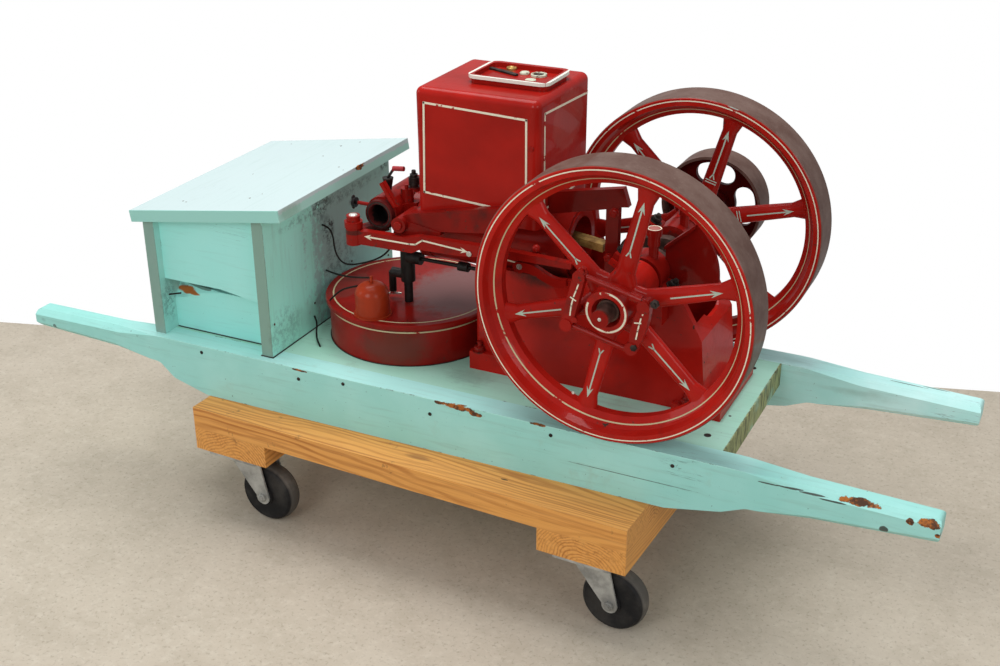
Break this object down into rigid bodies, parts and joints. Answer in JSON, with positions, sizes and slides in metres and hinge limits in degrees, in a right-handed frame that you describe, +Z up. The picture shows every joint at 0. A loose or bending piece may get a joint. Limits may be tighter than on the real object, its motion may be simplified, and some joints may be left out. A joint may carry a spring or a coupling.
{
  "type": "hit-and-miss engine",
  "caption": "Small hopper-cooled hit-and-miss engine with spoked flywheels and belt pulley, on a hand-carried timber frame with a battery box, standing on a wheeled dolly.",
  "frame": {"origin": "floor level under the middle of the bounding box", "axes": "+X along the rails towards the flywheel end, +Y away from the governor side, +Z up"},
  "size_m": [1.524, 0.5587, 0.754],
  "materials": {
    "red_paint": "gloss enamel",
    "mint_paint": "worn paint on wood",
    "pine": "varnished softwood",
    "zinc": "zinc plate",
    "black_rubber": "matt",
    "bare_iron": "worn",
    "dark_metal": "oily",
    "orange_paint": "gloss enamel",
    "brass": "tarnished"
  },
  "bodies": {
    "frame": {"bearing_cap_far": "red_paint", "bearing_cap_near": "red_paint", "box_back": "mint_paint", "box_end_high": "mint_paint", "box_end_low": "mint_paint", "box_front_lower": "mint_paint", "box_front_upper": "mint_paint", "box_lid": "mint_paint", "caster_plate_1": "zinc", "caster_plate_2": "zinc", "caster_plate_3": "zinc", "caster_plate_4": "zinc", "crank_guard": "red_paint", "cylinder": "red_paint", "cylinder_head": "red_paint", "deck_board_far": "mint_paint", "deck_board_near": "mint_paint", "dolly_beam_far": "pine", "dolly_beam_near": "pine", "dolly_block_left": "pine", "dolly_block_right": "pine", "engine_base": "red_paint", "fuel_cap": "orange_paint", "fuel_tank": "red_paint", "mixer": "dark_metal", "piston_and_rod": "brass", "pivot_arm": "red_paint", "priming_cup": "dark_metal", "rail_far": "mint_paint", "rail_near": "mint_paint", "side_rod": "red_paint", "speed_lever": "red_paint", "stay_bar": "red_paint", "water_hopper": "red_paint", "wire_cap": "black_rubber", "wire_head": "black_rubber", "wire_loose": "black_rubber", "wire_stub": "black_rubber"},
    "crank": {"crankshaft": "bare_iron", "flywheel_near": "red_paint", "flywheel_far": "red_paint", "belt_pulley": "bare_iron", "governor": "red_paint"},
    "fork_1": {"caster_fork_1": "zinc"},
    "wheel_1": {"caster_wheel_1": "black_rubber"},
    "fork_2": {"caster_fork_2": "zinc"},
    "wheel_2": {"caster_wheel_2": "black_rubber"},
    "fork_3": {"caster_fork_3": "zinc"},
    "wheel_3": {"caster_wheel_3": "black_rubber"},
    "fork_4": {"caster_fork_4": "zinc"},
    "wheel_4": {"caster_wheel_4": "black_rubber"}
  },
  "joints": [
    {"name": "crank_spin", "type": "hinge", "parent": "frame", "child": "crank", "pos_m": [0.3, -0.011, 0.504], "axis": [0, 1, 0], "continuous": true},
    {"name": "swivel_1", "type": "hinge", "parent": "frame", "child": "fork_1", "pos_m": [-0.33138, -0.19806, 0.1145], "axis": [0, 0, 1], "continuous": true},
    {"name": "roll_1", "type": "hinge", "parent": "fork_1", "child": "wheel_1", "pos_m": [-0.29542, -0.19963, 0.0508], "axis": [0.0436, 0.999, 0], "continuous": true},
    {"name": "swivel_2", "type": "hinge", "parent": "frame", "child": "fork_2", "pos_m": [0.29402, -0.22536, 0.1145], "axis": [0, 0, 1], "continuous": true},
    {"name": "roll_2", "type": "hinge", "parent": "fork_2", "child": "wheel_2", "pos_m": [0.32999, -0.22693, 0.0508], "axis": [0.0436, 0.999, 0], "continuous": true},
    {"name": "swivel_3", "type": "hinge", "parent": "frame", "child": "fork_3", "pos_m": [-0.31402, 0.19956, 0.1145], "axis": [0, 0, 1], "continuous": true},
    {"name": "roll_3", "type": "hinge", "parent": "fork_3", "child": "wheel_3", "pos_m": [-0.27806, 0.19799, 0.0508], "axis": [0.0436, 0.999, 0], "continuous": true},
    {"name": "swivel_4", "type": "hinge", "parent": "frame", "child": "fork_4", "pos_m": [0.31138, 0.17226, 0.1145], "axis": [0, 0, 1], "continuous": true},
    {"name": "roll_4", "type": "hinge", "parent": "fork_4", "child": "wheel_4", "pos_m": [0.34735, 0.17069, 0.0508], "axis": [0.0436, 0.999, 0], "continuous": true}
  ]
}
